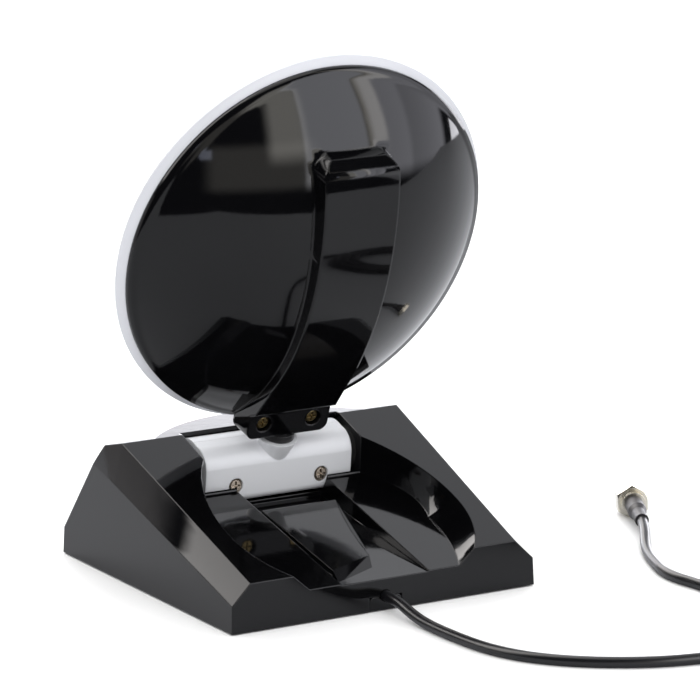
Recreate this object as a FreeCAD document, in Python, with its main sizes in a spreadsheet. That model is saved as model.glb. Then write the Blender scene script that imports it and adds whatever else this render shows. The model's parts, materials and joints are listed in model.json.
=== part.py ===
import FreeCAD, Part
import math
import os
import Sketcher
from FreeCAD import Placement, Rotation, Vector

# Desktop directional antenna: a dish-shaped head on a swivel neck, in a tilting barrel, on a wedge base.
# Millimetres, +Z up, the dish faces -Y, the cord leaves at +Y. Origin: centre of the footprint, on the ground.

doc = FreeCAD.newDocument("DirectionalAntenna")
sheet = doc.addObject("Spreadsheet::Sheet", "Sizes")
sheet_rows = []


class Size:
    """A number together with the expression that gives it from the sheet of sizes."""

    def __init__(self, number, text):
        self.number = float(number)
        self.text = text

    def joined(self, sign, other, number):
        return Size(number, f"({self.text} {sign} {as_size(other).text})")

    def __add__(self, other):
        return self.joined("+", other, self.number + as_size(other).number)

    def __sub__(self, other):
        return self.joined("-", other, self.number - as_size(other).number)

    def __mul__(self, other):
        return self.joined("*", other, self.number * as_size(other).number)

    def __truediv__(self, other):
        return self.joined("/", other, self.number / as_size(other).number)

    def __radd__(self, other):
        return as_size(other) + self

    def __rsub__(self, other):
        return as_size(other) - self

    def __rmul__(self, other):
        return as_size(other) * self

    def __rtruediv__(self, other):
        return as_size(other) / self

    def __neg__(self):
        return Size(-self.number, f"(-1 * {self.text})")

    def __float__(self):
        return self.number


def as_size(value):
    return value if isinstance(value, Size) else Size(value, repr(float(value)))


def size(name, number, meaning):
    """Writes one driving size into the sheet and hands it back."""
    sheet_rows.append(name)
    row = len(sheet_rows)
    sheet.set(f"A{row}", meaning)
    sheet.set(f"B{row}", str(number))
    sheet.setAlias(f"B{row}", name)
    return Size(number, f"Sizes.{name}")


def cosine(angle):
    angle = as_size(angle)
    return Size(math.cos(math.radians(angle.number)), f"cos({angle.text})")


def sine(angle):
    angle = as_size(angle)
    return Size(math.sin(math.radians(angle.number)), f"sin({angle.text})")


def root(value):
    return Size(math.sqrt(value.number), f"sqrt({value.text})")


def slope_angle(rise, run):
    ratio = rise / run
    return Size(math.degrees(math.atan(ratio.number)), f"atan({ratio.text})")


# Base: footprint, wedge profile and side strips
base_width = size("base_width", 124, "footprint across")
base_depth = size("base_depth", 125.5, "footprint front to rear")
foot_stand = size("foot_stand", 0.5, "rubber feet stand this far below the shell")
wall_draft = size("wall_draft", 0.033, "inward lean of the outer walls, per mm of height")
base_wall = size("base_wall", 2.2, "wall of the base shell")
front_height = size("front_height", 10.1, "top of the upright front wall")
brow_reach = size("brow_reach", 34.7, "brow, where the front slope ends, ahead of the origin")
brow_height = size("brow_height", 46.5, "height of the brow")
ridge_reach = size("ridge_reach", 24.25, "ridge ahead of the origin")
ridge_height = size("ridge_height", 49.16, "height of the ridge")
rear_height = size("rear_height", 17.36, "height of the rear wall")
strip_rear_top = size("strip_rear_top", 54.3, "half width of the deck at the rear wall")
strip_rear_low = size("strip_rear_low", 10.35, "height of the side wall at the rear")
strip_ridge_top = size("strip_ridge_top", 57.65, "half width of the deck at the ridge")
strip_ridge_low = size("strip_ridge_low", 34.2, "height of the side wall below the ridge")
strip_brow_top = size("strip_brow_top", 60.1, "half width of the top where the strip runs out")
strip_brow_low = size("strip_brow_low", 38.8, "height of the side wall where the strip runs out")
strip_end = size("strip_end", 42, "where the strip runs out, ahead of the origin")

half_width = base_width / 2
half_depth = base_depth / 2

# Base: nose, slot and tilt axis
nose_radius = size("nose_radius", 58, "radius of the nose in plan")
nose_reach = size("nose_reach", 45.3, "tip of the nose ahead of the origin")
tilt_reach = size("tilt_reach", 24.3, "tilt axis ahead of the origin")
tilt_height = size("tilt_height", 36, "tilt axis above the ground")
slot_half = size("slot_half", 32.9, "half width of the barrel slot")
slot_front = size("slot_front", 2.5, "rear edge of the nose shelf ahead of the tilt axis")
slot_rear = size("slot_rear", 16.3, "rear edge of the slot behind the tilt axis")
barrel_radius = size("barrel_radius", 11.4, "front round of the barrel")
barrel_gap = size("barrel_gap", 0.5, "gap between the barrel's front round and the shell")
sweep_radius = size("sweep_radius", 15.9, "trough that the barrel's rear edge turns in")

# Base: nest for the folded head
bowl_half = size("bowl_half", 47.6, "radius of the nest's round rear part")
bowl_middle = size("bowl_middle", 62.6, "centre of the round part, down the deck from the ridge")
bowl_start = size("bowl_start", 16.57, "front edge of the nest, down the deck from the ridge")
bowl_side_radius = size("bowl_side_radius", 79.4, "side curves of the nest")
nest_lift = size("nest_lift", 0.6, "the nest's outline is drawn this far above the deck")
bowl_run = size("bowl_run", 37, "how far the nest's outline runs past its centre")
rail_front = size("rail_front", 9.4, "front end of the rails ahead of the origin")
rail_height = size("rail_height", 29.66, "height of the rails' front end")
rail_slope = size("rail_slope", 0.246, "fall of the rails, per mm to the rear")
rail_widest = size("rail_widest", 39.5, "half width of the nest's floor at its widest")
rail_widest_at = size("rail_widest_at", 38, "where that is, down the rails")
rail_side_radius = size("rail_side_radius", 38, "front side curve of the floor")
rail_rear_half = size("rail_rear_half", 24, "half width where the floor's outline ends")
rail_rear_at = size("rail_rear_at", 85, "where that is, down the rails")
rail_rear_radius = size("rail_rear_radius", 85, "rear side curve of the floor")
valley_front_half = size("valley_front_half", 18.9, "half width of the valley at its front")
valley_rear_half = size("valley_rear_half", 17.8, "half width of the valley at the rear")
valley_front_height = size("valley_front_height", 22.2, "floor of the valley at its front")
valley_rear_height = size("valley_rear_height", 11.3, "floor of the valley at the rear")
valley_start = size("valley_start", 14, "front end of the valley ahead of the origin")
ramp_front = size("ramp_front", 3.3, "front edge of the ramp in the valley")
ramp_rear = size("ramp_rear", 40, "rear end of the ramp")
ramp_front_height = size("ramp_front_height", 24.8, "height of the ramp's front edge")
ramp_rear_height = size("ramp_rear_height", 14.3, "height of the ramp's rear end")
ramp_front_half = size("ramp_front_half", 15, "half width of the ramp's front edge")
ramp_rear_half = size("ramp_rear_half", 7, "half width of the ramp's rear end")

# Base: cover, feet, ballast and screws
cover_thickness = size("cover_thickness", 3, "bottom cover")
cover_gap = size("cover_gap", 0.2, "gap between the cover and the shell's walls")
cord_hole_height = size("cord_hole_height", 5.5, "centre of the cord hole above the ground")
tab_half = size("tab_half", 6.5, "half width of the cover's cord tab")
boss_radius = size("boss_radius", 4, "screw bosses in the base")
boss_inset_x = size("boss_inset_x", 8, "screw bosses in from the side walls")
boss_inset_y = size("boss_inset_y", 12.75, "screw bosses in from the front and rear walls")
screw_radius = size("screw_radius", 1.4, "shank of the tapping screws")
screw_head_radius = size("screw_head_radius", 2.8, "head of the tapping screws")
screw_head_height = size("screw_head_height", 1.6, "head height of the tapping screws")
screw_gap = size("screw_gap", 0.1, "clearance round shanks and heads")
screw_length = size("screw_length", 9, "shank length of the base screws")
foot_radius = size("foot_radius", 6, "rubber feet")
foot_thickness = size("foot_thickness", 1.6, "rubber feet")
foot_inset_x = size("foot_inset_x", 20, "feet in from the side walls")
foot_inset_y = size("foot_inset_y", 16.75, "feet in from the front and rear walls")
ballast_inset = size("ballast_inset", 20, "ballast plate in from the side walls")
ballast_share = size("ballast_share", 0.478, "ballast plate's depth as a share of the footprint's")
ballast_thickness = size("ballast_thickness", 3, "ballast plate")
ballast_inset_y = size("ballast_inset_y", 24.75, "ballast plate in from the front wall")
ballast_hole_inset = size("ballast_hole_inset", 8, "ballast screws in from the plate's ends")
clip_screw_x = size("clip_screw_x", 7.5, "clip screws from the middle")
clip_inset = size("clip_inset", 12.5, "middle of the clip in from the rear wall")
clip_depth = size("clip_depth", 6, "clip along the lead")
clip_half = size("clip_half", 10, "half width of the clip")
clip_foot = size("clip_foot", 1.5, "thickness of the clip's feet")
clip_crown = size("clip_crown", 3.4, "height of the clip over the lead's middle")
clip_play = size("clip_play", 0.4, "gap between the clip and the lead")
clip_screw_radius = size("clip_screw_radius", 0.9, "shank of the clip screws")
clip_head_radius = size("clip_head_radius", 1.9, "head of the clip screws")
clip_head_height = size("clip_head_height", 1.2, "head height of the clip screws")
clip_screw_length = size("clip_screw_length", 5, "shank length of the clip screws")

# Barrel
barrel_half = size("barrel_half", 30.4, "half length of the barrel")
barrel_back = size("barrel_back", 13.1, "rear face of the barrel behind the tilt axis")
barrel_back_lean = size("barrel_back_lean", 1.1, "how much further in the rear face is at its foot")
barrel_top_corner = size("barrel_top_corner", 7, "radius of the barrel's rear top corner")
barrel_foot_corner = size("barrel_foot_corner", 3, "radius of the barrel's rear bottom corner")
barrel_wall = size("barrel_wall", 2, "wall of the barrel")
barrel_screw_x = size("barrel_screw_x", 17.8, "barrel screws from the middle")
barrel_screw_drop = size("barrel_screw_drop", 5.2, "barrel screws below the tilt axis")
barrel_screw_sink = size("barrel_screw_sink", 2.4, "depth of the recesses for the barrel screws")
barrel_screw_length = size("barrel_screw_length", 14, "shank length of the barrel screws")
pin_radius = size("pin_radius", 4, "axle pins")
pin_bore = size("pin_bore", 2.4, "bore of the axle pins, for the lead")
pin_inner = size("pin_inner", 23.5, "inner end of the axle pins from the middle")
pin_gap = size("pin_gap", 0.06, "running clearance of the axle pins and the neck")
flange_radius = size("flange_radius", 6.5, "flange of the axle pins and washers")
flange_thickness = size("flange_thickness", 1.5, "flange of the axle pins")
spring_thickness = size("spring_thickness", 0.8, "spring washers")
pivot_washer = size("pivot_washer", 2.1, "thickness of the pivot washers")
pivot_washer_radius = size("pivot_washer_radius", 8, "pivot washers")

# Head: place and dish
head_lean = size("head_lean", 19.7, "backward lean of the dish, degrees")
seam_radius = size("seam_radius", 70.5, "rim of the rear shell")
dome_height = size("dome_height", 31.4, "height of the dome behind its rim")
dome_step = size("dome_step", 3.4, "height of the dome's edge behind its rim")
dome_inset = size("dome_inset", 1.5, "how far the dome's edge stands in from the rim")
shell_wall = size("shell_wall", 2.2, "walls of the head")
cover_flare = size("cover_flare", 2.8, "how far the front cover stands out beyond the rear shell")
cover_rim_back = size("cover_rim_back", 1.9, "widest place of the cover ahead of the seam")
cover_depth = size("cover_depth", 4.3, "front edge of the cover ahead of the seam")
cover_crown = size("cover_crown", 4.2, "how much the cover's face swells")
cover_corner = size("cover_corner", 2.2, "round of the cover's front edge")
cover_lip = size("cover_lip", 0.8, "lip of the cover inside the rear shell")

dome_edge = seam_radius - dome_inset
dome_rise = dome_height - dome_step
dome_radius = (dome_edge * dome_edge + dome_rise * dome_rise) / (dome_rise * 2)
cover_rim_radius = seam_radius + cover_flare

# Head: spine and foot
spine_top_inset = size("spine_top_inset", 23.4, "top of the spine's face in from the rim")
spine_bevel_drop = size("spine_bevel_drop", 2.6, "where the face bends into the top bevel, below its top")
spine_top_back = size("spine_top_back", 24.2, "the top edge behind the seam")
spine_bevel_back = size("spine_bevel_back", 28.4, "the bend behind the seam")
spine_radius = size("spine_radius", 115, "curve of the spine's face")
spine_low_inset = size("spine_low_inset", 21.2, "where the face ends, in from the rim below")
spine_low_back = size("spine_low_back", 21.8, "that place behind the seam")
spine_half = size("spine_half", 16.6, "half width of the spine")
spine_shoulder = size("spine_shoulder", 7, "radius of the spine's top corners")
spine_draft = size("spine_draft", 3, "draft of the spine's walls, degrees")
ledge_inset = size("ledge_inset", 9.5, "top of the ledge above the foot plate, in from the rim")
ledge_back = size("ledge_back", 16.4, "ledge behind the seam")
plate_inset = size("plate_inset", 7.1, "top of the foot plate, in from the rim")
plate_back = size("plate_back", 13, "foot plate behind the seam")
foot_proud = size("foot_proud", 3.4, "lower end of the foot below the rim")
foot_front = size("foot_front", 3.2, "front of the foot behind the seam")
foot_half = size("foot_half", 17.4, "half width of the foot")
foot_corner = size("foot_corner", 4, "lower corners of the foot")
foot_screw_x = size("foot_screw_x", 10.2, "foot screws from the middle")
foot_screw_rise = size("foot_screw_rise", 6.5, "foot screws above the foot's end")
foot_screw_sink = size("foot_screw_sink", 2.6, "seat of the foot screws below the plate")
foot_screw_play = size("foot_screw_play", 0.3, "gap round the heads of the foot screws")
plate_wall = size("plate_wall", 3.5, "wall of the foot plate")
foot_screw_length = size("foot_screw_length", 4.6, "shank length of the foot screws")

# Drops of the spine and the foot below the dish centre, and the spine's top above it
spine_top = seam_radius - spine_top_inset
spine_bevel = spine_top - spine_bevel_drop
spine_low = seam_radius - spine_low_inset
ledge_top = seam_radius - ledge_inset
plate_top = seam_radius - plate_inset
foot_end = seam_radius + foot_proud
foot_screw_drop = foot_end - foot_screw_rise

# Head: neck
neck_back = size("neck_back", 7.8, "swivel axis behind the seam")
neck_radius = size("neck_radius", 6, "neck")
neck_offset = size("neck_offset", 7.093, "swivel axis behind the tilt axis")
neck_length = size("neck_length", 3, "from the foot's end to the top of the barrel's collar")
collar_rise = size("collar_rise", 14.364, "top of the collar above the tilt axis, along the swivel axis")
collar_depth = size("collar_depth", 15, "how far the collar's cone reaches into the barrel")
collar_radius = size("collar_radius", 7.5, "collar at its top")
collar_taper = size("collar_taper", 0.4, "how much the collar narrows, per mm downwards")
spigot_radius = size("spigot_radius", 4.4, "spigot of the neck inside the foot")
neck_gap = size("neck_gap", 0.35, "gap between the neck's shoulder and the collar")
journal_radius = size("journal_radius", 3.2, "journal of the neck")
journal_length = size("journal_length", 17.6, "lower end of the journal below the collar's top")
seat_length = size("seat_length", 13.6, "lower end of the journal's bearing below the collar's top")
neck_bore = size("neck_bore", 1.9, "bore of the neck, for the lead")
bar_half = size("bar_half", 13.2, "half width of the bar that holds the neck in the foot")
bar_lift = size("bar_lift", 0.7, "gap below that bar")
bar_rise = size("bar_rise", 11.9, "top of that bar above the foot's end")
bar_front = size("bar_front", 5.6, "front face of the bar behind the seam")
retainer_radius = size("retainer_radius", 4.6, "retaining ring of the neck")
retainer_thickness = size("retainer_thickness", 1, "retaining ring of the neck")

# Drops below the dish centre along the swivel axis, and the place of the dish centre
collar_top = foot_end + neck_length
journal_end = collar_top + journal_length
seat_end = collar_top + seat_length
bar_top = foot_end - bar_rise
bar_back = plate_back - plate_wall
dish_rise = collar_rise + collar_top
dish_offset = neck_offset - neck_back
dish_back = dish_rise * sine(head_lean) + dish_offset * cosine(head_lean) - tilt_reach
dish_height = tilt_height + dish_rise * cosine(head_lean) - dish_offset * sine(head_lean)

# Head: inner parts
board_inset = size("board_inset", 12.5, "edge of the element board in from the rim")
board_thickness = size("board_thickness", 1.6, "element board")
board_front = size("board_front", 0.4, "front of the element board behind the seam")
reflector_inset = size("reflector_inset", 18.5, "edge of the reflector disc in from the rim")
reflector_thickness = size("reflector_thickness", 1, "reflector disc")
reflector_front = size("reflector_front", 10.2, "front of the reflector disc behind the seam")
spacer_place = size("spacer_place", 33, "spacers from the middle, both ways")
spacer_radius = size("spacer_radius", 3.5, "spacers and their bosses")
board_screw_length = size("board_screw_length", 14.5, "shank length of the board screws")
can_width = size("can_width", 34, "shield can across")
can_height = size("can_height", 26, "shield can up and down")
can_depth = size("can_depth", 6, "shield can")
can_wall = size("can_wall", 0.4, "sheet of the shield can")
board_radius = seam_radius - board_inset
reflector_radius = seam_radius - reflector_inset

# Cord and plug
cord_radius = size("cord_radius", 1.95, "cord")
lead_radius = size("lead_radius", 1.6, "lead inside the head and the base")
lead_drop = size("lead_drop", 24, "how far the lead falls from the axle pin")
nut_face_x = size("nut_face_x", -150, "middle of the nut's face")
nut_face_ahead = size("nut_face_ahead", 67.75, "middle of the nut's face ahead of the base's rear wall")
nut_flats = size("nut_flats", 11.4, "coupling nut across its flats")
nut_length = size("nut_length", 8.2, "coupling nut")
nut_bore = size("nut_bore", 4.75, "radius of the nut's thread")
nut_lip_bore = size("nut_lip_bore", 3.3, "radius of the hole in the nut's rear lip")
nut_lip = size("nut_lip", 1.4, "rear lip of the nut")
body_flange_radius = size("body_flange_radius", 4.3, "flange of the plug body inside the nut")
body_flange = size("body_flange", 1.2, "thickness of that flange")
collar_ring_radius = size("collar_ring_radius", 4.6, "collar ring behind the nut")
collar_ring = size("collar_ring", 3.4, "length of the collar ring")
ferrule_radius = size("ferrule_radius", 2.9, "crimped ferrule")
ferrule = size("ferrule", 9, "length of the ferrule")
sleeve_radius = size("sleeve_radius", 3.5, "heat-shrink sleeve")
sleeve_tail_radius = size("sleeve_tail_radius", 2.6, "heat-shrink sleeve at its cord end")
sleeve_length = size("sleeve_length", 23, "heat-shrink sleeve")
plug_turn = size("plug_turn", 27.1, "plug axis from the -Y direction towards -X, degrees")
centre_pin_radius = size("centre_pin_radius", 0.5, "free end of the centre pin")
centre_core_radius = size("centre_core_radius", 0.3, "centre pin inside its insulator")
centre_pin_proud = size("centre_pin_proud", 1.2, "centre pin beyond the nut's face")
insulator_radius = size("insulator_radius", 2.4, "insulator of the plug")
coil_turn_radius = size("coil_turn_radius", 22, "coil at the middle of its turns")
coil_x = size("coil_x", -112, "middle of the coil")
coil_behind = size("coil_behind", 89.25, "middle of the coil behind the base's rear wall")
coil_rows = size("coil_rows", 3, "turns side by side")
coil_layers = size("coil_layers", 2, "turns above each other")

doc.recompute()

deck_angle = slope_angle(ridge_height - rear_height, ridge_reach + half_depth - wall_draft * rear_height)
rail_angle = slope_angle(rail_slope, as_size(1))
front_slope = (brow_height - front_height) / (half_depth - wall_draft * front_height - brow_reach)
spring_seat = slot_half + base_wall
flange_start = spring_seat + spring_thickness
cover_top = foot_stand + cover_thickness

# Sketches and features


def origin_plane(body, role):
    return next(part for part in body.Origin.OriginFeatures if part.Role == role)


def bind(thing, name, value):
    value = as_size(value)
    thing.setExpression(name, value.text)


def new_body(label):
    body = doc.addObject("PartDesign::Body", label)
    body.Label = label
    return body


def new_sketch(body, plane, along=0, turn=None, up=None, front=None):
    """A sketch on an origin plane: moved along its normal, or on XY turned about X at a given place."""
    sketch = body.newObject("Sketcher::SketchObject", f"{body.Name}_outline")
    sketch.AttachmentSupport = [(origin_plane(body, f"{plane}_Plane"), "")]
    sketch.MapMode = "FlatFace"
    if turn is not None:
        sketch.AttachmentOffset = Placement(Vector(), Rotation(Vector(1, 0, 0), -float(turn)))
        bind(sketch, "AttachmentOffset.Rotation.Angle", -turn)
        bind(sketch, "AttachmentOffset.Base.y", front)
        bind(sketch, "AttachmentOffset.Base.z", up)
    else:
        bind(sketch, "AttachmentOffset.Base.z", along)
    return sketch


def draw(sketch, corners):
    """A closed outline. A corner is (across, up), or (across, up, radius, 'left' or 'right') where the
    edge that leaves it is an arc that turns that way."""
    first = sketch.GeometryCount
    points = [Vector(float(corner[0]), float(corner[1]), 0) for corner in corners]
    ends = []
    for index, corner in enumerate(corners):
        start = points[index]
        end = points[(index + 1) % len(points)]
        if len(corner) == 2:
            sketch.addGeometry(Part.LineSegment(start, end))
            ends.append((1, 2))
            continue
        left = corner[3] == "left"
        chord = end - start
        side = Vector(-chord.y, chord.x, 0) * ((1 if left else -1) / chord.Length)
        reach = math.sqrt(max(float(corner[2]) ** 2 - chord.Length ** 2 / 4, 0))
        centre = (start + end) * 0.5 + side * reach
        circle = Part.Circle(centre, Vector(0, 0, 1), float(corner[2]))
        low, high = (start, end) if left else (end, start)
        sketch.addGeometry(Part.ArcOfCircle(circle, circle.parameter(low), circle.parameter(high)))
        ends.append((1, 2) if left else (2, 1))
    for index, corner in enumerate(corners):
        following = (index + 1) % len(corners)
        here, there = first + index, first + following
        sketch.addConstraint(Sketcher.Constraint("Coincident", here, ends[index][1],
                                                 there, ends[following][0]))
        pinned(sketch, here, ends[index][0], corner[0], corner[1])
        if len(corner) > 2:
            radius = sketch.addConstraint(Sketcher.Constraint("Radius", here, float(corner[2])))
            bind(sketch, f"Constraints[{radius}]", corner[2])


def pinned(sketch, geometry, point, across, up):
    """Holds a point of the outline at its place from the sketch's origin."""
    for kind, value in (("DistanceX", across), ("DistanceY", up)):
        held = sketch.addConstraint(Sketcher.Constraint(kind, -1, 1, geometry, point, float(value)))
        bind(sketch, f"Constraints[{held}]", value)


def block(low_x, low_y, high_x, high_y):
    """The corners of an upright rectangle."""
    return [(low_x, low_y), (high_x, low_y), (high_x, high_y), (low_x, high_y)]


def mirrored_outline(half):
    """A whole outline from its right half, listed from the bottom up."""
    left = [(-corner[0],) + tuple(corner[1:]) for corner in reversed(half)]
    shifted = []
    for index, corner in enumerate(left):
        source = half[len(half) - 2 - index] if index < len(half) - 1 else (0, 0)
        shifted.append((corner[0], corner[1]) + tuple(source[2:]))
    return list(half) + shifted


def pad(body, sketch, depth, sides="One side", back=False, taper=None):
    feature = body.newObject("PartDesign::Pad", f"{body.Name}_pad")
    feature.Profile = sketch
    feature.SideType = sides
    feature.Reversed = back
    bind(feature, "Length", depth)
    if taper is not None:
        bind(feature, "TaperAngle", -taper)
    return feature


def pocket(body, sketch, depth, sides="One side", back=False):
    feature = body.newObject("PartDesign::Pocket", f"{body.Name}_pocket")
    feature.Profile = sketch
    feature.SideType = sides
    feature.Reversed = back
    bind(feature, "Length", depth)
    return feature


def spin(body, sketch, kind="Revolution"):
    """A full turn of the outline about the sketch's upright axis."""
    feature = body.newObject(f"PartDesign::{kind}", f"{body.Name}_{kind.lower()}")
    feature.Profile = sketch
    feature.ReferenceAxis = (sketch, ["V_Axis"])
    feature.Angle = 360
    return feature


def loft(body, sketches, kind="Additive"):
    """A ruled loft through sections with equal numbers of edges."""
    feature = body.newObject(f"PartDesign::{kind}Loft", f"{body.Name}_loft")
    feature.Profile = sketches[0]
    feature.Sections = sketches[1:]
    feature.Ruled = True
    return feature


def turned(label, outline):
    """A turned piece about its own Z: the outline gives radius by height."""
    body = new_body(label)
    profile = new_sketch(body, "XZ")
    draw(profile, outline)
    spin(body, profile)
    return body


def extruded(label, plane, outline, depth, along=0, sides="One side", back=False, taper=None):
    body = new_body(label)
    profile = new_sketch(body, plane, along)
    draw(profile, outline)
    pad(body, profile, depth, sides, back, taper)
    return body


def rod(label, radius, length, place, axis="z"):
    """A plain cylinder whose low end is at the place."""
    cylinder = doc.addObject("Part::Cylinder", label)
    bind(cylinder, "Radius", radius)
    bind(cylinder, "Height", length)
    turns = {"z": Rotation(), "x": Rotation(Vector(0, 1, 0), 90), "y": Rotation(Vector(1, 0, 0), -90)}
    cylinder.Placement = Placement(Vector(), turns[axis])
    for name, value in zip("xyz", place):
        bind(cylinder, f"Placement.Base.{name}", value)
    return cylinder


def joined(label, pieces):
    whole = doc.addObject("Part::MultiFuse", label)
    whole.Shapes = pieces
    whole.Label = label
    return whole


def shared(label, pieces):
    whole = doc.addObject("Part::MultiCommon", label)
    whole.Shapes = pieces
    whole.Label = label
    return whole


def cut(label, piece, tools):
    whole = doc.addObject("Part::Cut", label)
    whole.Base = piece
    whole.Tool = tools[0] if len(tools) == 1 else joined(f"{label}_tools", tools)
    whole.Label = label
    return whole


def group(label, pieces):
    """Like pieces that stay separate solids in one node."""
    whole = doc.addObject("Part::Compound", label)
    whole.Links = pieces
    whole.Label = label
    return whole


def set_place(thing, x=0, y=0, z=0, axis=None, angle=0):
    if axis is not None:
        thing.Placement = Placement(Vector(), Rotation(axis, float(angle) or 1.0))
        bind(thing, "Placement.Rotation.Angle", angle)
    for name, value in (("x", x), ("y", y), ("z", z)):
        bind(thing, f"Placement.Base.{name}", value)
    return thing


def head_place(thing):
    """Stands a piece of the head in its lean: its y runs to the rear of the dish, its z up along it."""
    return set_place(thing, 0, dish_back, dish_height, Vector(1, 0, 0), -head_lean)


# Base shell


def base_section(body, reach, grow, top_half, top_height, low_height):
    """Cross-section of the wedge at a place ahead of the origin; grow is negative for the hollow."""
    bottom = foot_stand if float(grow) == 0 else foot_stand + grow
    low_half = half_width - wall_draft * low_height + grow
    top = top_height + grow * 1.07
    side = low_height + grow * 0.45
    sketch = new_sketch(body, "XZ", reach)
    draw(sketch, [(-(half_width + grow), bottom), (half_width + grow, bottom), (low_half, side),
                  (top_half + grow, top), (-(top_half + grow), top), (-low_half, side)])
    return sketch


def wedge_body(label, grow):
    body = new_body(label)
    end = half_depth + grow
    brow_top = ridge_height - (strip_end - ridge_reach) * (ridge_height - brow_height) / (
        brow_reach - ridge_reach)
    loft(body, [base_section(body, -end, grow, strip_rear_top, rear_height, strip_rear_low),
                base_section(body, ridge_reach, grow, strip_ridge_top, ridge_height, strip_ridge_low),
                base_section(body, strip_end, grow, strip_brow_top, brow_top, strip_brow_low),
                base_section(body, end, grow, strip_brow_top, brow_top, strip_brow_low)])
    return body


def side_profile(label, grow):
    """Everything inside the wedge's outline as seen from the side."""
    front = half_depth + grow
    lean = wall_draft * front_height
    drop = grow * 1.65
    ceiling = ridge_height + 20
    top_front = front_height + drop + front_slope * (half_depth - lean)
    corners = [(-front, foot_stand + grow),
               (half_depth + grow, foot_stand + grow),
               (half_depth + grow - wall_draft * rear_height, rear_height),
               (half_depth + grow - wall_draft * rear_height, ceiling),
               ((ceiling - top_front) / front_slope, ceiling),
               (-(front - lean), front_height + drop - front_slope * grow)]
    return extruded(label, "YZ", corners, base_width, sides="Symmetric")


def nose_outline(grow):
    """D-shaped plan of the nose: a bow in front, closed behind the ridge."""
    radius = nose_radius + grow
    centre = nose_radius - nose_reach
    chord_y = as_size(-ridge_reach)
    half = root(radius * radius - (centre - chord_y) * (centre - chord_y))
    tip = centre - radius
    return [(half, chord_y), (-half, chord_y, radius, "left"), (as_size(0), tip, radius, "left")]


def slot_outline(grow):
    """Side view of the barrel's slot, about the tilt axis; grown by a wall for its jacket."""
    near = barrel_radius + barrel_gap + grow
    far = sweep_radius + grow
    front = slot_front + grow
    open_top = as_size(18)
    return [(-front, open_top),
            (-front, root(near * near - front * front), near, "left"),
            (near * cosine(200), near * sine(200)),
            (far * cosine(245), far * sine(245), far, "left"),
            (far * cosine(-20), far * sine(-20)),
            (slot_rear + grow, open_top)]


def slot_body(label, grow):
    body = extruded(label, "YZ", slot_outline(grow), (slot_half + grow) * 2, sides="Symmetric")
    return set_place(body, 0, -tilt_reach, tilt_height)


def nest_rings(body, grow):
    """The nest for the folded head: its outline just above the deck and its floor on the rails."""
    start = bowl_start - grow
    rim_half = root(bowl_half * bowl_half - bowl_run * bowl_run) + grow
    rim_end = bowl_middle + bowl_run
    rim = new_sketch(body, "XY", turn=deck_angle, front=-ridge_reach, up=ridge_height + nest_lift)
    draw(rim, [(-(slot_half + grow), start), (slot_half + grow, start, bowl_side_radius, "left"),
               (bowl_half + grow, bowl_middle, bowl_half + grow, "left"),
               (rim_half, rim_end), (-rim_half, rim_end, bowl_half + grow, "left"),
               (-(bowl_half + grow), bowl_middle, bowl_side_radius, "left")])
    floor = new_sketch(body, "XY", turn=rail_angle, front=-rail_front, up=rail_height - grow)
    draw(floor, [(-(slot_half + grow), -grow), (slot_half + grow, -grow, rail_side_radius, "left"),
                 (rail_widest + grow, rail_widest_at, rail_rear_radius, "left"),
                 (rail_rear_half + grow, rail_rear_at),
                 (-(rail_rear_half + grow), rail_rear_at, rail_rear_radius, "left"),
                 (-(rail_widest + grow), rail_widest_at, rail_side_radius, "left")])
    return [rim, floor]


def nest(label, grow):
    body = new_body(label)
    loft(body, nest_rings(body, as_size(grow)))
    return body


def valley(label, grow):
    """The sunk floor between the rails, open above."""
    body = new_body(label)
    grow = as_size(grow)
    rear = half_depth + 2
    sections = []
    for reach, half, floor in ((valley_start + grow, valley_front_half, valley_front_height),
                               (-rear, valley_rear_half, valley_rear_height)):
        sketch = new_sketch(body, "XZ", reach)
        draw(sketch, block(-(half + grow), floor - grow, half + grow, floor + 14))
        sections.append(sketch)
    loft(body, sections)
    return body


def ramp(label):
    """The raised wedge in the middle of the valley."""
    body = new_body(label)
    sections = []
    for place, half, height in ((ramp_front, ramp_front_half, ramp_front_height),
                                (ramp_rear, ramp_rear_half, ramp_rear_height)):
        fall = (valley_front_height - valley_rear_height) / (valley_start + half_depth + 2)
        sunk = valley_rear_height + fall * (half_depth + 2 - place) - 1
        sketch = new_sketch(body, "XZ", -place)
        draw(sketch, block(-half, sunk, half, height))
        sections.append(sketch)
    loft(body, sections)
    return body


def base_screw_places():
    reach_x, reach_y = half_width - boss_inset_x, half_depth - boss_inset_y
    return [(sx * reach_x, sy * reach_y) for sx in (-1, 1) for sy in (-1, 1)]


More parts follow.
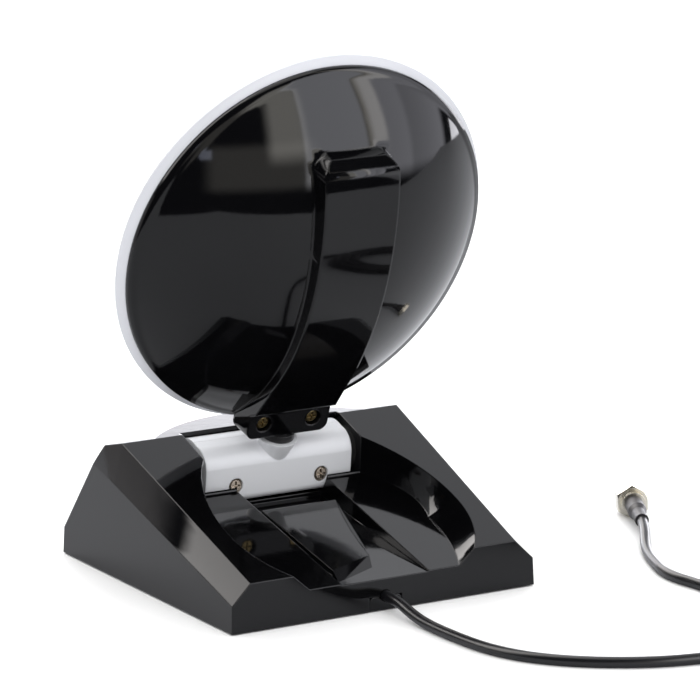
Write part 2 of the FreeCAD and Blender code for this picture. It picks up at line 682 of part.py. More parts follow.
def make_base_shell():
    wall = base_wall
    outside = shared("wedge_outside", [wedge_body("wedge", as_size(0)), side_profile("wedge_side", as_size(0))])
    nose = extruded("nose", "XY", nose_outline(as_size(0)), ridge_height - front_height - 10,
                    along=front_height + 10)
    solid = joined("base_solid", [outside, nose])
    hollow = shared("wedge_inside", [wedge_body("hollow", -wall), side_profile("hollow_side", -wall)])
    nose_hollow = extruded("nose_hollow", "XY", nose_outline(-wall), ridge_height - front_height - 10 - wall,
                           along=front_height + 10)
    bosses = [rod("boss", boss_radius, ridge_height, (x, y, cover_top)) for x, y in base_screw_places()]
    room = cut("base_room", joined("base_hollow", [hollow, nose_hollow]),
               [slot_body("slot_jacket", wall), nest("nest_jacket", wall), valley("valley_jacket", wall)]
               + bosses)
    opened = cut("base_opened", solid, [slot_body("slot", as_size(0)), nest("nest", 0), valley("valley", 0),
                                        room])
    whole = joined("base_with_ramp", [opened, ramp("ramp")])
    axle_hole = rod("axle_hole", pin_radius + pin_gap, (slot_half + wall * 3) * 2,
                    (-(slot_half + wall * 3), -tilt_reach, tilt_height), "x")
    pilots = [rod("pilot", screw_radius, screw_length + 3, (x, y, foot_stand)) for x, y in base_screw_places()]
    notch = extruded("cord_notch", "XZ", block(-(tab_half + cover_gap), -1, tab_half + cover_gap,
                                               cord_hole_height), wall * 4, along=-(half_depth + 2))
    cord_hole = rod("cord_hole", cord_radius + screw_gap, wall * 4,
                    (0, half_depth - wall * 2, cord_hole_height), "y")
    return cut("base_shell", whole, [axle_hole, notch, cord_hole] + pilots)


# Bottom cover and what is fixed to it


def make_base_cover():
    inner_x = half_width - base_wall - cover_gap
    inner_y = half_depth - base_wall - cover_gap
    plate = extruded("cover_plate", "XY", block(-inner_x, -inner_y, inner_x, inner_y), cover_thickness,
                     along=foot_stand)
    tab = extruded("cover_tab", "XZ", [(-tab_half, foot_stand), (tab_half, foot_stand),
                                       (tab_half, cord_hole_height - 1.2),
                                       (tab_half - 1, cord_hole_height - cover_gap),
                                       (-(tab_half - 1), cord_hole_height - cover_gap),
                                       (-tab_half, cord_hole_height - 1.2)],
                   base_wall + cover_gap + 3, along=-(half_depth - wall_draft * cord_hole_height))
    clip_posts = [rod("clip_post", 2.6, cord_hole_height - foot_stand, (sign * clip_screw_x, clip_y, foot_stand))
                  for sign in (-1, 1)]
    whole = joined("cover_whole", [plate, tab] + clip_posts)
    tools = [rod("cover_cord_hole", cord_radius + screw_gap, 16,
                 (0, half_depth - 12, cord_hole_height), "y")]
    for x, y in base_screw_places():
        tools.append(rod("cover_hole", screw_radius + screw_gap, cover_thickness, (x, y, foot_stand)))
        tools.append(rod("cover_sink", screw_head_radius + screw_gap, screw_head_height + 0.2,
                         (x, y, foot_stand)))
    for x, y in foot_places():
        tools.append(rod("foot_seat", foot_radius, foot_thickness - foot_stand, (x, y, foot_stand)))
    for sign in (-1, 1):
        tools.append(rod("clip_pilot", clip_screw_radius, clip_screw_length, (sign * clip_screw_x, clip_y, cord_hole_height - 4)))
        tools.append(rod("ballast_pilot", screw_radius, cover_thickness - 0.8,
                         (sign * ballast_hole_x, ballast_middle, foot_stand + 0.8)))
    return cut("base_cover", whole, tools)


clip_y = half_depth - clip_inset
ballast_width = base_width - ballast_inset * 2
ballast_depth = base_depth * ballast_share
ballast_front = half_depth - ballast_inset_y
ballast_middle = ballast_depth / 2 - ballast_front
ballast_hole_x = ballast_width / 2 - ballast_hole_inset


def foot_places():
    reach_x, reach_y = half_width - foot_inset_x, half_depth - foot_inset_y
    return [(sx * reach_x, sy * reach_y) for sx in (-1, 1) for sy in (-1, 1)]


def make_feet():
    return group("rubber_feet", [rod("rubber_foot", foot_radius, foot_thickness, (x, y, 0))
                                 for x, y in foot_places()])


def screw(label, length, radius=None, head_radius=None, head_height=None, recess=1.1):
    """A pan-head screw about its own Z: head below, shank up, with a cross recess in the head."""
    radius = radius or screw_radius
    head_radius = head_radius or screw_head_radius
    head_height = head_height or screw_head_height
    body = new_body(label)
    profile = new_sketch(body, "XZ")
    draw(profile, [(as_size(0), -head_height), (head_radius * 0.72, -head_height),
                   (head_radius, -head_height * 0.55), (head_radius, as_size(0)), (radius, as_size(0)),
                   (radius, length - radius), (radius * 0.3, length), (as_size(0), length)])
    spin(body, profile)
    cross = new_sketch(body, "XY", -head_height)
    arm, slit = head_radius * 0.62, head_radius * 0.12
    draw(cross, [(-arm, -slit), (-slit, -slit), (-slit, -arm), (slit, -arm), (slit, -slit), (arm, -slit),
                 (arm, slit), (slit, slit), (slit, arm), (-slit, arm), (-slit, slit), (-arm, slit)])
    pocket(body, cross, head_height * 0.6, back=True)
    return body


def make_base_screws():
    places = base_screw_places()
    pieces = []
    for number, (x, y) in enumerate(places):
        piece = screw(f"base_screw_{number + 1}", screw_length)
        pieces.append(set_place(piece, x, y, foot_stand + screw_head_height + 0.2))
    return group("base_screws", pieces)


def make_ballast():
    plate = extruded("ballast_blank", "XY",
                     block(-ballast_width / 2, -ballast_front, ballast_width / 2, ballast_depth - ballast_front),
                     ballast_thickness, along=cover_top)
    holes = [rod("ballast_hole", screw_radius + screw_gap, ballast_thickness,
                 (sign * ballast_hole_x, ballast_middle, cover_top)) for sign in (-1, 1)]
    return cut("ballast_plate", plate, holes)


def make_ballast_screws():
    pieces = []
    for sign in (-1, 1):
        piece = screw(f"ballast_screw_{sign + 2}", ballast_thickness + cover_thickness - 1)
        pieces.append(set_place(piece, sign * ballast_hole_x, ballast_middle, cover_top + ballast_thickness,
                                Vector(1, 0, 0), 180))
    return group("ballast_screws", pieces)


def make_clip():
    """Saddle that holds the lead down just inside the cord hole."""
    foot_top = cord_hole_height + clip_foot
    crown_top = cord_hole_height + clip_crown
    crown_half = clip_half * 0.4
    saddle = extruded("clip_blank", "XZ", [(-clip_half, cord_hole_height), (clip_half, cord_hole_height),
                                           (clip_half, foot_top), (crown_half, crown_top),
                                           (-crown_half, crown_top), (-clip_half, foot_top)],
                      clip_depth, along=-(clip_y + clip_depth / 2))
    tools = [rod("clip_groove", lead_radius + clip_play, clip_depth * 1.5,
                 (0, clip_y - clip_depth * 0.75, cord_hole_height), "y")]
    for sign in (-1, 1):
        tools.append(rod("clip_hole", clip_screw_radius + 0.2, clip_depth,
                         (sign * clip_screw_x, clip_y, cord_hole_height - 1)))
        tools.append(rod("clip_spot", clip_head_radius + 0.2, clip_crown, (sign * clip_screw_x, clip_y, foot_top)))
    return cut("cable_clip", saddle, tools)


def make_clip_screws():
    pieces = []
    for sign in (-1, 1):
        piece = screw(f"clip_screw_{sign + 2}", clip_screw_length, clip_screw_radius, clip_head_radius,
                      clip_head_height)
        pieces.append(set_place(piece, sign * clip_screw_x, clip_y, cord_hole_height + clip_foot,
                                Vector(1, 0, 0), 180))
    return group("clip_screws", pieces)


# Barrel


def barrel_form(label, grow):
    """The whole barrel about the tilt axis, before it is split; grow is negative for its hollow."""
    radius = barrel_radius + grow
    lean = deck_angle
    tangent_y = radius * sine(lean)
    tangent_z = radius * cosine(lean)
    back = barrel_back + grow
    corner_z = tangent_z - (back - tangent_y) * sine(lean) / cosine(lean)
    top_round = barrel_top_corner + grow
    foot_round = barrel_foot_corner + grow * 0.6
    foot_y = back - barrel_back_lean
    before_y = back - top_round * cosine(lean)
    before_z = tangent_z - (before_y - tangent_y) * sine(lean) / cosine(lean)
    corners = [(as_size(0), -radius), (foot_y - foot_round, -radius, foot_round, "left"),
               (foot_y, foot_round - radius), (back, corner_z - top_round * 0.75, top_round * 1.15, "left"),
               (before_y, before_z), (tangent_y, tangent_z, radius, "left"),
               (-radius * cosine(20), radius * sine(20), radius, "left")]
    return extruded(label, "YZ", corners, (barrel_half + grow) * 2, sides="Symmetric")


def barrel_split(label, rear):
    """All space behind or ahead of the split plane, which holds the tilt axis and leans like the dish."""
    reach = as_size(30)
    low_y, high_y = (as_size(0), reach) if rear else (-reach, as_size(0))
    body = extruded(label, "YZ", block(low_y, -reach, high_y, reach), base_width, sides="Symmetric")
    return set_place(body, axis=Vector(1, 0, 0), angle=-head_lean)


def neck_tool(label, radius, top, end):
    """A cylinder on the swivel axis between two places below the dish centre, in the barrel's frame."""
    tool = rod(label, radius, end - top, (0, 0, 0))
    return on_neck_axis(tool, end)


def on_neck_axis(thing, drop):
    """Stands a piece on the swivel axis in the barrel's own frame, with its foot at the drop."""
    back = neck_back * cosine(head_lean) - drop * sine(head_lean)
    fall = neck_back * sine(head_lean) + drop * cosine(head_lean)
    return set_place(thing, 0, dish_back + tilt_reach + back, dish_height - tilt_height - fall,
                     Vector(1, 0, 0), -head_lean)


def make_barrel():
    """Both halves of the barrel, in place on the tilt axis."""
    outer = barrel_form("barrel_outer", as_size(0))
    inner = barrel_form("barrel_inner", -barrel_wall)
    collar = turned("collar", [(as_size(0), as_size(0)), (collar_radius - collar_taper * collar_depth, as_size(0)),
                               (collar_radius, collar_depth), (as_size(0), collar_depth)])
    on_neck_axis(collar, collar_top + collar_depth)
    bearing = neck_tool("bearing_boss", journal_radius + barrel_wall, collar_top + 3, seat_end)
    bore = neck_tool("journal_bore", journal_radius + pin_gap, collar_top - 5, seat_end + 1)
    ring_room = neck_tool("retainer_room", retainer_radius + neck_gap, seat_end, journal_end + 1)
    screw_bosses = []
    screw_holes = []
    for sign in (-1, 1):
        x = sign * barrel_screw_x
        screw_bosses.append(rod("barrel_boss", screw_radius + barrel_wall, barrel_radius + barrel_back - 3,
                                (x, -(barrel_radius - 2), -barrel_screw_drop), "y"))
        screw_holes.append(rod("barrel_hole", screw_radius, barrel_screw_length + 1,
                               (x, barrel_back - barrel_screw_sink - barrel_screw_length - 1,
                                -barrel_screw_drop), "y"))
        screw_holes.append(rod("barrel_sink", screw_head_radius + screw_gap, barrel_screw_sink * 2,
                               (x, barrel_back - barrel_screw_sink, -barrel_screw_drop), "y"))
    pin_bosses = [rod("pin_boss", pin_radius + barrel_wall, barrel_half - pin_inner,
                      (start, 0, 0), "x") for start in (-barrel_half, pin_inner)]
    pin_bore_tool = rod("pin_bores", pin_radius, barrel_half * 2 + 4, (-(barrel_half + 2), 0, 0), "x")
    room = cut("barrel_room", inner, [bearing] + screw_bosses + pin_bosses)
    skin = cut("barrel_skin", outer, [room, bore, ring_room, pin_bore_tool] + screw_holes)
    rear_half = shared("barrel_rear_half", [skin, barrel_split("split_rear", True)])
    front_half = shared("barrel_front_half", [skin, barrel_split("split_front", False)])
    rear = cut("barrel_rear", joined("barrel_rear_whole", [rear_half, collar]), [bore, ring_room])
    front = cut("barrel_front", front_half, [collar])
    for half in (rear, front):
        set_place(half, 0, -tilt_reach, tilt_height)
    return [rear, front]


def make_barrel_screws():
    pieces = []
    for sign in (-1, 1):
        piece = screw(f"barrel_screw_{sign + 2}", barrel_screw_length)
        pieces.append(set_place(piece, sign * barrel_screw_x, barrel_back - barrel_screw_sink - tilt_reach,
                                tilt_height - barrel_screw_drop, Vector(1, 0, 0), 90))
    return group("barrel_screws", pieces)


def make_axle_pins():
    """Two hollow flanged pins, pushed in from inside the base and held by the barrel."""
    length = flange_start - pin_inner
    pieces = []
    for sign in (-1, 1):
        pin = turned(f"axle_pin_{sign + 2}",
                     [(pin_bore, as_size(0)), (pin_radius, as_size(0)), (pin_radius, length),
                      (flange_radius, length), (flange_radius, length + flange_thickness),
                      (pin_bore, length + flange_thickness)])
        pieces.append(set_place(pin, sign * pin_inner, -tilt_reach, tilt_height, Vector(0, 1, 0), sign * 90))
    return group("axle_pins", pieces)


def washers(label, inner, outer, thickness, start):
    pieces = []
    for sign in (-1, 1):
        washer = turned(f"{label}_{sign + 2}", block(inner, as_size(0), outer, thickness))
        pieces.append(set_place(washer, sign * start, -tilt_reach, tilt_height, Vector(0, 1, 0), sign * 90))
    return group(label, pieces)


# Head


def make_dome(label, edge, radius, floor):
    """The dish as a solid cap behind the seam: edge is its radius there, radius its sphere."""
    centre = dome_height - dome_radius
    top = centre + radius
    rim = centre + root(radius * radius - dome_edge * dome_edge)
    body = new_body(label)
    profile = new_sketch(body, "XY")
    if float(floor) == 0:
        corners = [(as_size(0), floor), (edge, floor), (edge, rim - 0.4), (dome_edge, rim, radius, "left"),
                   (as_size(0), top)]
    else:
        inner_rim = centre + root(radius * radius - edge * edge)
        corners = [(as_size(0), floor), (edge, floor), (edge, inner_rim, radius, "left"), (as_size(0), top)]
    draw(profile, corners)
    spin(body, profile)
    return body


def spine_side(label, wall, half):
    """Side view of spine and foot, swept across; wall is what is taken off for the hollow."""
    front = foot_front + wall
    plate = plate_back if float(wall) == 0 else plate_back - plate_wall
    corners = [(front, -(foot_end - wall)), (plate, -(foot_end - wall)),
               (plate, -(plate_top + wall * 0.4)), (ledge_back - wall, -(ledge_top + wall * 0.4)),
               (spine_low_back - wall, -spine_low, spine_radius, "left"),
               (spine_bevel_back - wall, spine_bevel - wall * 0.4),
               (spine_top_back - wall, spine_top - wall * 0.6),
               (spine_top_back - 10, spine_top + 0.8 - wall), (front, as_size(-30))]
    return extruded(label, "YZ", corners, half * 2, sides="Symmetric")


def spine_back(label, wall):
    """Rear view of spine and foot, with draft towards the rear."""
    half = spine_half - wall
    foot = foot_half - wall
    shoulder = spine_shoulder - wall
    top = spine_top + spine_draft / 2 - wall
    corner = foot_corner - wall
    outline = [(foot - corner, -(foot_end - wall), corner, "left"), (foot, corner + wall - foot_end),
               (foot, -ledge_top), (half, as_size(-30)), (half, top - shoulder, shoulder, "left"),
               (half - shoulder, top)]
    return extruded(label, "XZ", mirrored_outline(outline), spine_top_back + 20, back=True,
                    taper=spine_draft)


def spine_form(label, wall):
    return shared(label, [spine_side(f"{label}_side", wall, foot_half + 4), spine_back(f"{label}_back", wall)])


def spacer_places():
    return [(sx * spacer_place, sz * spacer_place) for sx in (-1, 1) for sz in (-1, 1)]


def make_rear_shell():
    wall = shell_wall
    outside = joined("head_outside", [make_dome("dome", seam_radius, dome_radius, as_size(0)),
                                      spine_form("spine", as_size(0))])
    back = reflector_front + reflector_thickness
    bosses = [rod("head_boss", spacer_radius, dome_height, (x, back, z), "y") for x, z in spacer_places()]
    room = cut("head_room", joined("head_hollow", [make_dome("dome_room", seam_radius - wall,
                                                             dome_radius - wall, as_size(-1)),
                                                   spine_form("spine_room", wall)]), bosses)
    neck_hole = rod("neck_hole", spigot_radius, wall * 3, (0, neck_back, -(foot_end + wall)))
    tools = [room, neck_hole]
    for sign in (-1, 1):
        x = sign * foot_screw_x
        tools.append(rod("foot_hole", screw_radius + screw_gap, wall * 4,
                         (x, plate_back - wall * 2, -foot_screw_drop), "y"))
        tools.append(rod("foot_sink", screw_head_radius + foot_screw_play, wall * 2,
                         (x, plate_back - foot_screw_sink, -foot_screw_drop), "y"))
    for x, z in spacer_places():
        tools.append(rod("head_pilot", screw_radius, as_size(5), (x, back - 0.5, z), "y"))
    return head_place(cut("rear_shell", outside, tools))


def make_front_cover():
    """White cover: flares from the seam to its rim, rounds over and swells a little in the middle."""
    wall = shell_wall
    face = cover_depth
    crown = face + cover_crown
    corner = cover_corner
    edge = cover_rim_radius - corner
    lip = seam_radius - wall - 0.15
    swell = (edge * edge + cover_crown * cover_crown) / (cover_crown * 2)
    body = new_body("front_cover")
    profile = new_sketch(body, "XY")
    inner = edge - 1
    inner_swell = (inner * inner + cover_crown * cover_crown) / (cover_crown * 2)
    draw(profile, [(as_size(0), -crown), (as_size(0), wall - crown, inner_swell, "left"),
                   (inner, wall - face), (lip - 1.4, -cover_rim_back), (lip - 1.4, cover_lip), (lip, cover_lip),
                   (lip, as_size(0)), (seam_radius, as_size(0)), (cover_rim_radius, -cover_rim_back),
                   (cover_rim_radius, corner - face, corner, "right"), (edge, -face, swell, "right")])
    spin(body, profile)
    return head_place(body)


def make_neck():
    """Swivel neck: journal, neck and the bar that the foot screws hold, all on the swivel axis."""
    shoulder = collar_top - neck_gap
    post = turned("neck_post", [(as_size(0), -journal_end), (journal_radius, -journal_end),
                                (journal_radius, -shoulder), (neck_radius, -shoulder), (neck_radius, -foot_end),
                                (spigot_radius, -foot_end), (spigot_radius, shell_wall * 2 - foot_end),
                                (as_size(0), shell_wall * 2 - foot_end)])
    set_place(post, 0, neck_back, 0)
    bar_foot = foot_end - shell_wall - bar_lift
    bar = extruded("neck_bar", "XZ", block(-bar_half, -bar_foot, bar_half, -bar_top), bar_back - bar_front,
                   along=-bar_back)
    tools = [rod("neck_lead_bore", neck_bore, journal_end, (0, neck_back, -journal_end))]
    for sign in (-1, 1):
        tools.append(rod("bar_pilot", screw_radius, bar_back - bar_front,
                         (sign * foot_screw_x, bar_front, -foot_screw_drop), "y"))
    return head_place(cut("swivel_neck", joined("neck_whole", [post, bar]), tools))


def make_retainer():
    """Ring pressed on the journal under its bearing."""
    top = seat_end + neck_gap
    piece = turned("neck_retainer", block(journal_radius, -(top + retainer_thickness), retainer_radius, -top))
    axis = neck_back * cosine(head_lean)
    fall = neck_back * sine(head_lean)
    return set_place(piece, 0, dish_back + axis, dish_height - fall, Vector(1, 0, 0), -head_lean)


def in_head(piece, x, back, drop, flip=False):
    """Puts a Z-turned piece into the head, pointing forwards, or to the rear when flipped."""
    angle = as_size(-90) - head_lean if flip else as_size(90) - head_lean
    place_y = dish_back + as_size(back) * cosine(head_lean) - as_size(drop) * sine(head_lean)
    place_z = dish_height - as_size(back) * sine(head_lean) - as_size(drop) * cosine(head_lean)
    return set_place(piece, x, place_y, place_z, Vector(1, 0, 0), angle)


def make_foot_screws():
    pieces = []
    for sign in (-1, 1):
        piece = screw(f"foot_screw_{sign + 2}", foot_screw_length)
        pieces.append(in_head(piece, sign * foot_screw_x, plate_back - foot_screw_sink, foot_screw_drop))
    return group("foot_screws", pieces)


def disc_in_head(label, radius, front, thickness, holes):
    blank = rod(f"{label}_blank", radius, thickness, (0, front, 0), "y")
    tools = [rod(f"{label}_hole", screw_radius + screw_gap, thickness, (x, front, z), "y") for x, z in holes]
    return head_place(cut(label, blank, tools))


def make_spacers():
    back = board_front + board_thickness
    length = reflector_front - back
    pieces = []
    for number, (x, z) in enumerate(spacer_places()):
        tube = turned(f"spacer_{number + 1}", block(screw_radius + screw_gap, as_size(0), spacer_radius, length))
        pieces.append(in_head(tube, x, back, -z, flip=True))
    return group("board_spacers", pieces)


def make_board_screws():
    pieces = []
    for number, (x, z) in enumerate(spacer_places()):
        piece = screw(f"board_screw_{number + 1}", board_screw_length)
        pieces.append(in_head(piece, x, board_front, -z, flip=True))
    return group("board_screws", pieces)


def make_shield_can():
    back = board_front + board_thickness
    outer = extruded("can_outer", "XZ", block(-can_width / 2, -can_height / 2, can_width / 2, can_height / 2),
                     can_depth, along=-back, back=True)
    inner = extruded("can_inner", "XZ", block(can_wall - can_width / 2, can_wall - can_height / 2,
                                              can_width / 2 - can_wall, can_height / 2 - can_wall),
                     can_depth - can_wall, along=-back, back=True)
    return head_place(cut("shield_can", outer, [inner]))


# Cord, leads and plug


def bend_radii(points):
    """The radius of each arc of a route, one at every inner point."""
    radii = []
    for before, here, after in zip(points, points[1:], points[2:]):
        into, out = here - before, after - here
        turn = into.getAngle(out)
        radii.append(0.45 * min(into.Length, out.Length) / math.tan(turn / 2))
    return radii


def route_wire(points):
    """Straight runs joined by tangent arcs."""
    edges = []
    here = points[0]
    for radius, before, corner, after in zip(bend_radii(points), points, points[1:], points[2:]):
        into = (corner - before).normalize()
        out = (after - corner).normalize()
        turn = into.getAngle(out)
        reach = radius * math.tan(turn / 2)
        start, end = corner - into * reach, corner + out * reach
        centre = corner + (out - into).normalize() * (radius / math.cos(turn / 2))
        middle = centre + (corner - centre).normalize() * radius
        edges.append(Part.LineSegment(here, start).toShape())
        edges.append(Part.Arc(start, middle, end).toShape())
        here = end
    edges.append(Part.LineSegment(here, points[-1]).toShape())
    return Part.Wire(edges)


def tube(label, points, radius, place=None):
    """A cord stretch: a round section along straight runs and tangent arcs."""
    points = [Vector(*(float(value) for value in point)) for point in points]
    wire = route_wire(points)
    start = points[0]
    section = Part.Wire(Part.makeCircle(float(radius), start, points[1] - start))
    shape = wire.makePipeShell([section], True, False)
    expected = math.pi * float(radius) ** 2 * wire.Length
    radii = " ".join(f"{value:.0f}" for value in bend_radii(points))
    print(f"{label}: length {wire.Length:.1f}, volume / expected {shape.Volume / expected:.4f}, radii {radii}")
    piece = doc.addObject("Part::Feature", label)
    piece.Shape = shape
    piece.Label = label
    if place is not None:
        piece.Placement = place
    return piece


ground = float(cord_radius)
exit_y = float(half_depth)
exit_z = float(cord_hole_height)


def behind_base(points):
    """Places of a route that are given from the base's rear wall."""
    return [(x, exit_y + behind, height) for x, behind, height in points]


cord_points = behind_base([(0, 0, exit_z), (0, 8.5, exit_z - 0.1), (0.1, 17, 3.2), (0.3, 27, ground),
                           (0.1, 44, ground), (-1.5, 61.5, ground), (-5.8, 73.9, ground), (-11.8, 83.1, ground),
                           (-19, 90.6, ground), (-26.9, 96.7, ground), (-35.6, 102, ground),
                           (-44.8, 106.2, ground), (-55.1, 109, ground), (-67, 111.3, ground),
                           (-80, 113.3, ground), (-94, 114.6, ground), (-106, 115.3, ground)])

plug_angle = math.radians(float(plug_turn))
plug_axis = Vector(-math.sin(plug_angle), -math.cos(plug_angle), 0)
plug_height = float(nut_flats) / 2
nut_face = Vector(float(nut_face_x), exit_y - float(nut_face_ahead), plug_height)
sleeve_end = nut_face - plug_axis * float(nut_length + collar_ring + sleeve_length)
sleeve_run = sleeve_end - plug_axis * 8
tail_points = behind_base([(-132.2, 71, 5.2), (-126.6, 65.8, 4.2), (-121, 60.3, 2.8), (-114.8, 53.7, ground),
                           (-110.6, 44.5, ground), (-109.4, 32.3, ground), (-107.9, 23.8, ground),
                           (-108.6, 13.8, ground), (-112.4, 3.7, ground), (-116.6, -6.5, ground),
                           (-121, -15.5, 2.6)])
tail_points += [(sleeve_run.x, sleeve_run.y, plug_height - 0.6), (sleeve_end.x, sleeve_end.y, plug_height)]


def make_coil():
    """Outer shape of the put-away coil: a closed ring on the ground."""
    wide = cord_radius * coil_rows
    tall = cord_radius * 2 * coil_layers
    edge = cord_radius
    low = coil_turn_radius - wide
    high = coil_turn_radius + wide
    body = turned("cord_coil", [(low + edge, as_size(0)), (high - edge, as_size(0)), (high, edge),
                                (high, tall - edge), (high - edge, tall), (low + edge, tall), (low, tall - edge),
                                (low, edge)])
    return set_place(body, coil_x, half_depth + coil_behind, 0)


def plug_place(thing, back=0):
    """Lays a Z-turned piece on the plug's axis, mouth forward, its Z zero this far behind the nut's face."""
    turn = Rotation(Vector(0, 0, 1), plug_axis)
    base = nut_face - plug_axis * float(back)
    thing.Placement = Placement(base, turn)
    return thing


def make_nut():
    body = new_body("coupling_nut")
    hexagon = new_sketch(body, "XY", -nut_length)
    corner = nut_flats / 2 / cosine(30)
    draw(hexagon, [(corner * cosine(60 * step), corner * sine(60 * step)) for step in range(6)])
    pad(body, hexagon, nut_length)
    bore = new_sketch(body, "XZ")
    draw(bore, [(as_size(0), as_size(0)), (as_size(0), -nut_length), (nut_lip_bore, -nut_length),
                (nut_lip_bore, nut_lip - nut_length), (nut_bore, nut_lip - nut_length), (nut_bore, as_size(0))])
    spin(body, bore, "Groove")
    chamfer = new_sketch(body, "XZ")
    for end, inward in ((as_size(0), -1), (-nut_length, 1)):
        draw(chamfer, [(nut_flats / 2, end), (corner + 1, end),
                       (corner + 1, end + inward * 0.5 * (corner + 1 - nut_flats / 2))])
    spin(body, chamfer, "Groove")
    return plug_place(body)


def make_plug_body():
    """Flange inside the nut, stem through its lip, collar ring behind it, and the ferrule."""
    lip_front = nut_lip - nut_length
    stem = nut_lip_bore - pin_gap
    play = as_size(0.1)
    bore = insulator_radius
    rear = -(nut_length + collar_ring)
    body = turned("plug_body", [(bore, lip_front + play + body_flange), (body_flange_radius,
                                                                         lip_front + play + body_flange),
                                (body_flange_radius, lip_front + play), (stem, lip_front + play),
                                (stem, -(nut_length + play)), (collar_ring_radius, -(nut_length + play)),
                                (collar_ring_radius, rear), (ferrule_radius, rear), (ferrule_radius, rear - ferrule),
                                (bore, rear - ferrule)])
    return plug_place(body)


def make_insulator():
    front = nut_lip - nut_length + body_flange
    rear = -(nut_length + collar_ring + ferrule)
    body = turned("plug_insulator", block(centre_core_radius, rear, insulator_radius, front))
    return plug_place(body)


def make_centre_pin():
    rear = -(nut_length + collar_ring + ferrule)
    mouth = nut_lip - nut_length + body_flange
    tip = centre_pin_radius * 0.6
    body = turned("centre_pin", [(as_size(0), rear), (centre_core_radius, rear), (centre_core_radius, mouth),
                                 (centre_pin_radius, mouth), (centre_pin_radius, centre_pin_proud - tip),
                                 (centre_pin_radius * 0.4, centre_pin_proud), (as_size(0), centre_pin_proud)])
    return plug_place(body)


def make_sleeve():
    """Heat-shrink sleeve over the ferrule, which narrows on to the cord."""
    front = -(nut_length + collar_ring)
    rear = front - sleeve_length
    step = front - ferrule
    body = turned("shrink_sleeve", [(ferrule_radius, front), (sleeve_radius, front), (sleeve_radius, step - 1),
                                    (sleeve_tail_radius, step - 4), (sleeve_tail_radius, rear),
                                    (as_size(0), rear), (as_size(0), step), (ferrule_radius, step)])
    return plug_place(body)


def make_leads():
    """The lead inside the head, the barrel and the base."""
    lean = math.radians(float(head_lean))
    centre = Vector(0, float(dish_back), float(dish_height))

    def head_point(x, back, up):
        return (x, centre.y + back * math.cos(lean) + up * math.sin(lean),
                centre.z - back * math.sin(lean) + up * math.cos(lean))

    can_back = float(board_front + board_thickness + can_depth / 2)
    axis_back = float(neck_back)
    neck = tube("neck_lead", [head_point(0, can_back, -float(can_height) / 2), head_point(0, can_back, -28),
                              head_point(0, axis_back, -50), head_point(0, axis_back, -float(journal_end))],
                lead_radius)
    axis_y, axis_z = -float(tilt_reach), float(tilt_height)
    pin_end = float(flange_start + flange_thickness)
    drop = float(lead_drop)
    floor = float(cover_top + ballast_thickness + lead_radius) + 1
    middle_y = axis_y + drop
    run_x, run_y = float(ballast_width) / 4, (exit_y - 20 - middle_y) / 3
    base = tube("base_lead", [(-float(pin_inner), axis_y, axis_z), (-pin_end - drop / 6, axis_y, axis_z),
                              (-pin_end - drop * 0.4, axis_y + 1, axis_z - drop / 3),
                              (-pin_end - drop * 0.45, axis_y + drop / 6, axis_z - drop * 0.75),
                              (-pin_end - drop / 3, axis_y + drop / 2, floor + 3),
                              (-run_x * 2, middle_y, floor), (-run_x * 1.45, middle_y + run_y, floor),
                              (-run_x * 0.8, middle_y + run_y * 2, floor - 0.6),
                              (-run_x * 0.25, middle_y + run_y * 2.7, exit_z + 0.8),
                              (0, exit_y - 20, exit_z), (0, exit_y, exit_z)], lead_radius)
    return [neck, base]


nodes = [make_base_shell(), make_base_cover(), make_feet(), make_base_screws(), make_ballast(),
         make_ballast_screws(), make_clip(), make_clip_screws()]
nodes += make_barrel()
nodes += [make_barrel_screws(), make_axle_pins(),
          washers("pivot_washers", pin_radius, pivot_washer_radius, pivot_washer, barrel_half),
          washers("spring_washers", pin_radius + pin_gap, flange_radius, spring_thickness, spring_seat)]
nodes += [make_rear_shell(), make_front_cover(), make_neck(), make_retainer(), make_foot_screws(),
          disc_in_head("element_board", board_radius, board_front, board_thickness, spacer_places()),
          disc_in_head("reflector_disc", reflector_radius, reflector_front, reflector_thickness,
                       spacer_places()),
          make_spacers(), make_board_screws(), make_shield_can()]
nodes += [make_nut(), make_plug_body(), make_insulator(), make_centre_pin(), make_sleeve(), make_coil()]
nodes += make_leads()
nodes += [tube("cord_tube", cord_points, cord_radius), tube("cord_tail", tail_points, cord_radius)]

doc.recompute()
for thing in doc.Objects:
    if "Invalid" in thing.State or "Error" in thing.State:
        raise RuntimeError(f"{thing.Label} failed: {thing.State}")

os.makedirs("parts", exist_ok=True)
for node in nodes:
    shape = node.Shape
    if shape.isNull() or not shape.isValid() or not shape.Solids:
        raise RuntimeError(f"{node.Label} has no valid solid")
    shape.exportStep(f"parts/{node.Label}.step")
    print(f"{node.Label}: {len(shape.Solids)} solid(s), {shape.Volume:.0f} mm3")
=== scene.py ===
import json
import math
import bpy
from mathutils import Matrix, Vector


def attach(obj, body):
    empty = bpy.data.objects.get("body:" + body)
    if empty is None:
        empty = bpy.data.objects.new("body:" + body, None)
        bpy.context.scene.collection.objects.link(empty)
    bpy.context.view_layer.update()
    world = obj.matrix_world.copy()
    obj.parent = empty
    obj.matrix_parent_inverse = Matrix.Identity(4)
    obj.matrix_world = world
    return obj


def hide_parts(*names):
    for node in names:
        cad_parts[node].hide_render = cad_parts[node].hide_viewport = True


# %% [markdown]
# # Directional antenna
# A round head, black behind and white in front, stands on a swivel neck in a tilting barrel. The barrel sits
# in a wedge-shaped base, and a thin cord leaves the base at the rear. All rigid pieces come from the CAD
# part, because their sizes have to be exact; here they get their finish, and the soft cord gets its route.

